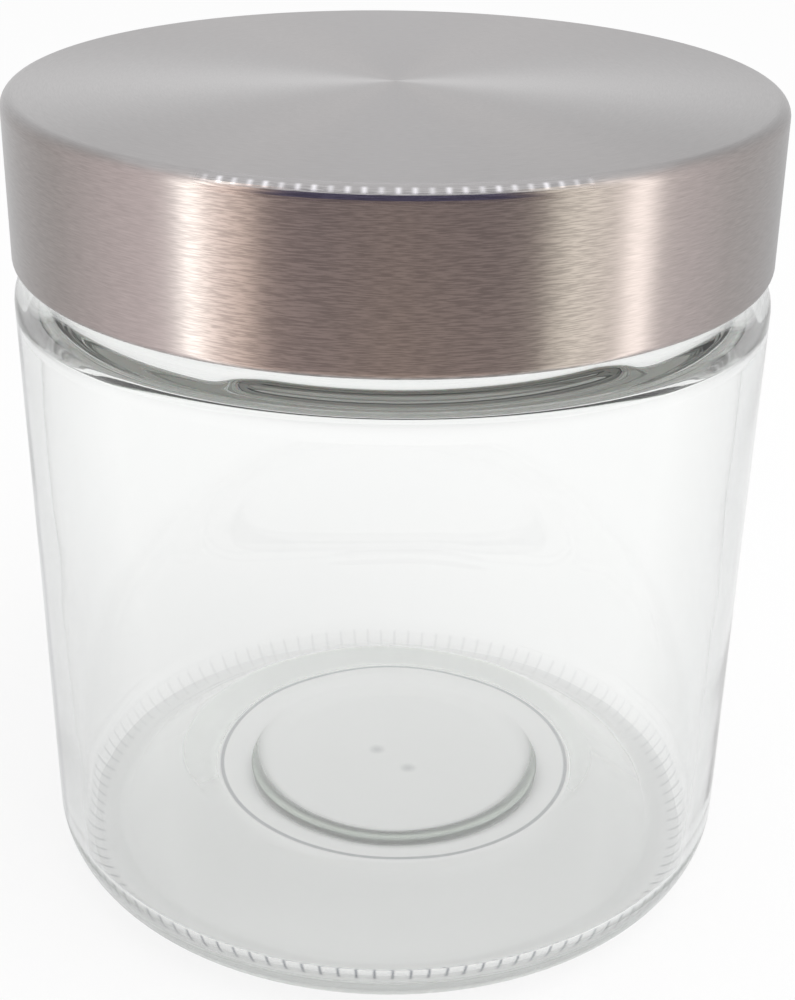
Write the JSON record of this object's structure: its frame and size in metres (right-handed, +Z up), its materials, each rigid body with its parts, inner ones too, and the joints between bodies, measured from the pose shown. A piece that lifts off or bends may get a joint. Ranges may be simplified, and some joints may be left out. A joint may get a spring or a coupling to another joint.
{
  "type": "glass storage jar",
  "caption": "Round clear glass storage jar with a brushed steel screw lid, plastic threaded insert and seal ring; stands on its base, lid turns and lifts.",
  "frame": {"origin": "centre of the ring that the jar stands on", "axes": "+Z up along the axis of the jar and its lid; the jar is round, so +X and +Y are free"},
  "size_m": [0.1052, 0.1052, 0.1172],
  "materials": {
    "clear_glass": "clear soda-lime glass, faint grey-green tint, polished",
    "seal": "translucent white silicone, satin",
    "insert_plastic": "moulded white polypropylene, satin",
    "brushed_steel": "stainless steel, spun brushing on top and brushing round the side"
  },
  "bodies": {
    "jar": {"glass_jar": "clear_glass"},
    "seal": {"seal_ring": "seal"},
    "lid": {"lid_insert": "insert_plastic", "lid_shell": "brushed_steel"}
  },
  "joints": [
    {"name": "lid_rise", "type": "slide", "parent": "jar", "child": "seal", "axis": [0, 0, 1], "range_m": [0, 0.0255]},
    {"name": "lid_turn", "type": "hinge", "parent": "seal", "child": "lid", "pos_m": [0, 0, 0.1155], "axis": [0, 0, 1], "range_deg": [0, 1800]}
  ],
  "couplings": [
    {"joint": "lid_rise", "follows": "lid_turn", "m_per_rad": 0.00080851}
  ]
}
